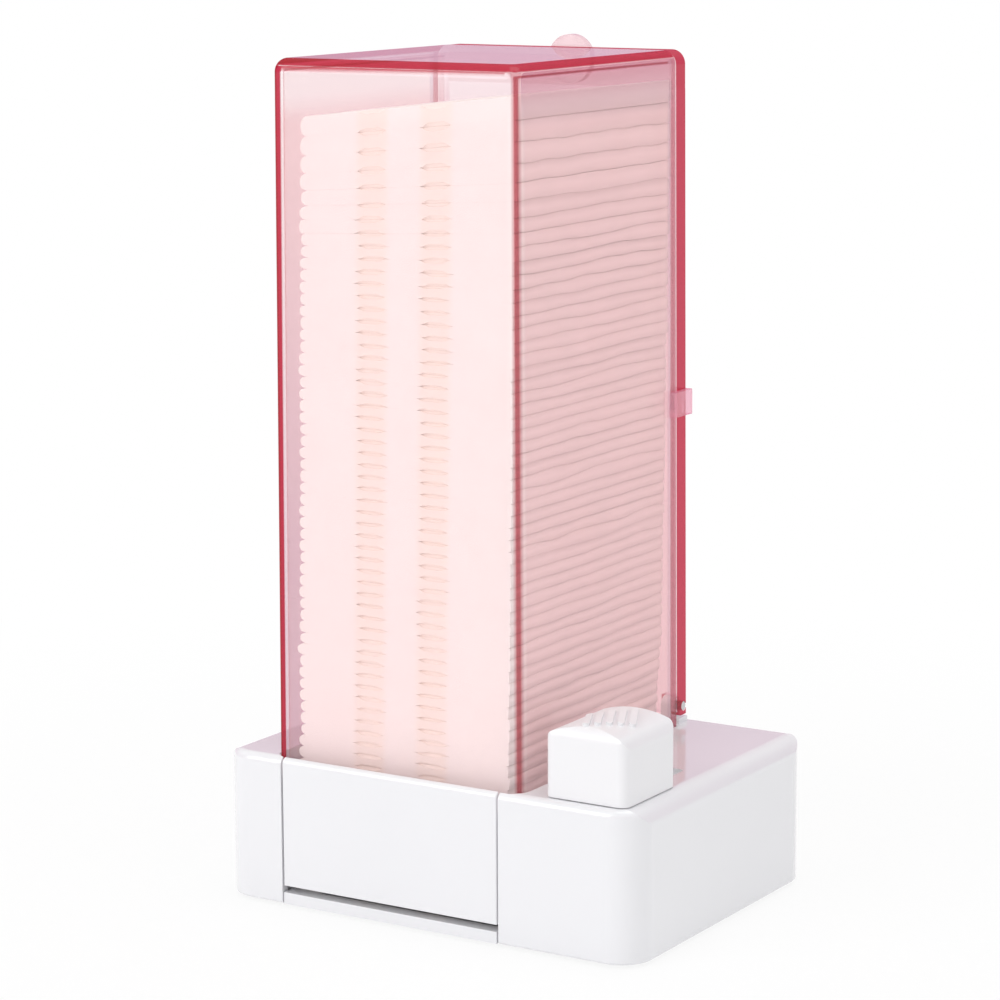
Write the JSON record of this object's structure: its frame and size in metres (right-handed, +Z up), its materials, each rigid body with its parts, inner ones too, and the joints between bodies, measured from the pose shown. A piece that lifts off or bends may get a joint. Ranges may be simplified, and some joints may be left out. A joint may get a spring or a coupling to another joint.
{
  "type": "wipe dispenser",
  "caption": "Upright cotton wipe dispenser: a white base with a push knob and a front slot carries a tinted clear tower full of square wipes, with a hinged rear door.",
  "frame": {"origin": "centre of the base's footprint on the surface that its feet stand on", "axes": "+Z up, -Y to the front panel and its slot, +X to the knob's side"},
  "size_m": [0.1, 0.075, 0.1789],
  "materials": {
    "white_shell": "glossy white moulded plastic",
    "white_inner": "satin white moulded plastic",
    "pink_clear": "clear plastic tinted rose, darker at its edges",
    "pale_clear": "pale rose clear plastic",
    "cotton": "matt white pressed cotton",
    "soft_rubber": "soft light grey rubber",
    "steel": "plain steel"
  },
  "bodies": {
    "base": {"base_housing": "white_shell", "front_panel": "white_shell", "bottom_plate": "white_shell", "bottom_screws": "steel", "foot_front_left": "soft_rubber", "foot_front_right": "soft_rubber", "foot_back_left": "soft_rubber", "foot_back_right": "soft_rubber", "tower_cover": "pink_clear", "hinge_pin_left": "steel", "hinge_pin_right": "steel", "wipe_stack": "cotton", "retard_strip": "soft_rubber"},
    "door": {"rear_door": "pink_clear", "door_clip_left": "pale_clear", "door_clip_right": "pale_clear"},
    "slider": {"slider_knob": "white_shell", "slider_arm": "white_inner", "knob_screw": "steel", "carriage_plate": "white_inner", "grip_strip": "soft_rubber"},
    "lowest_wipe": {"next_wipe": "cotton"}
  },
  "joints": [
    {"name": "knob_slide", "type": "slide", "parent": "base", "child": "slider", "axis": [0, 1, 0], "range_m": [0, 0.016]},
    {"name": "door_hinge", "type": "hinge", "parent": "base", "child": "door", "pos_m": [-0.00677, 0.03105, 0.036], "axis": [-1, 0, 0], "range_deg": [0, 100]},
    {"name": "wipe_slide", "type": "slide", "parent": "base", "child": "lowest_wipe", "axis": [0, -1, 0], "range_m": [0, 0.046]}
  ]
}
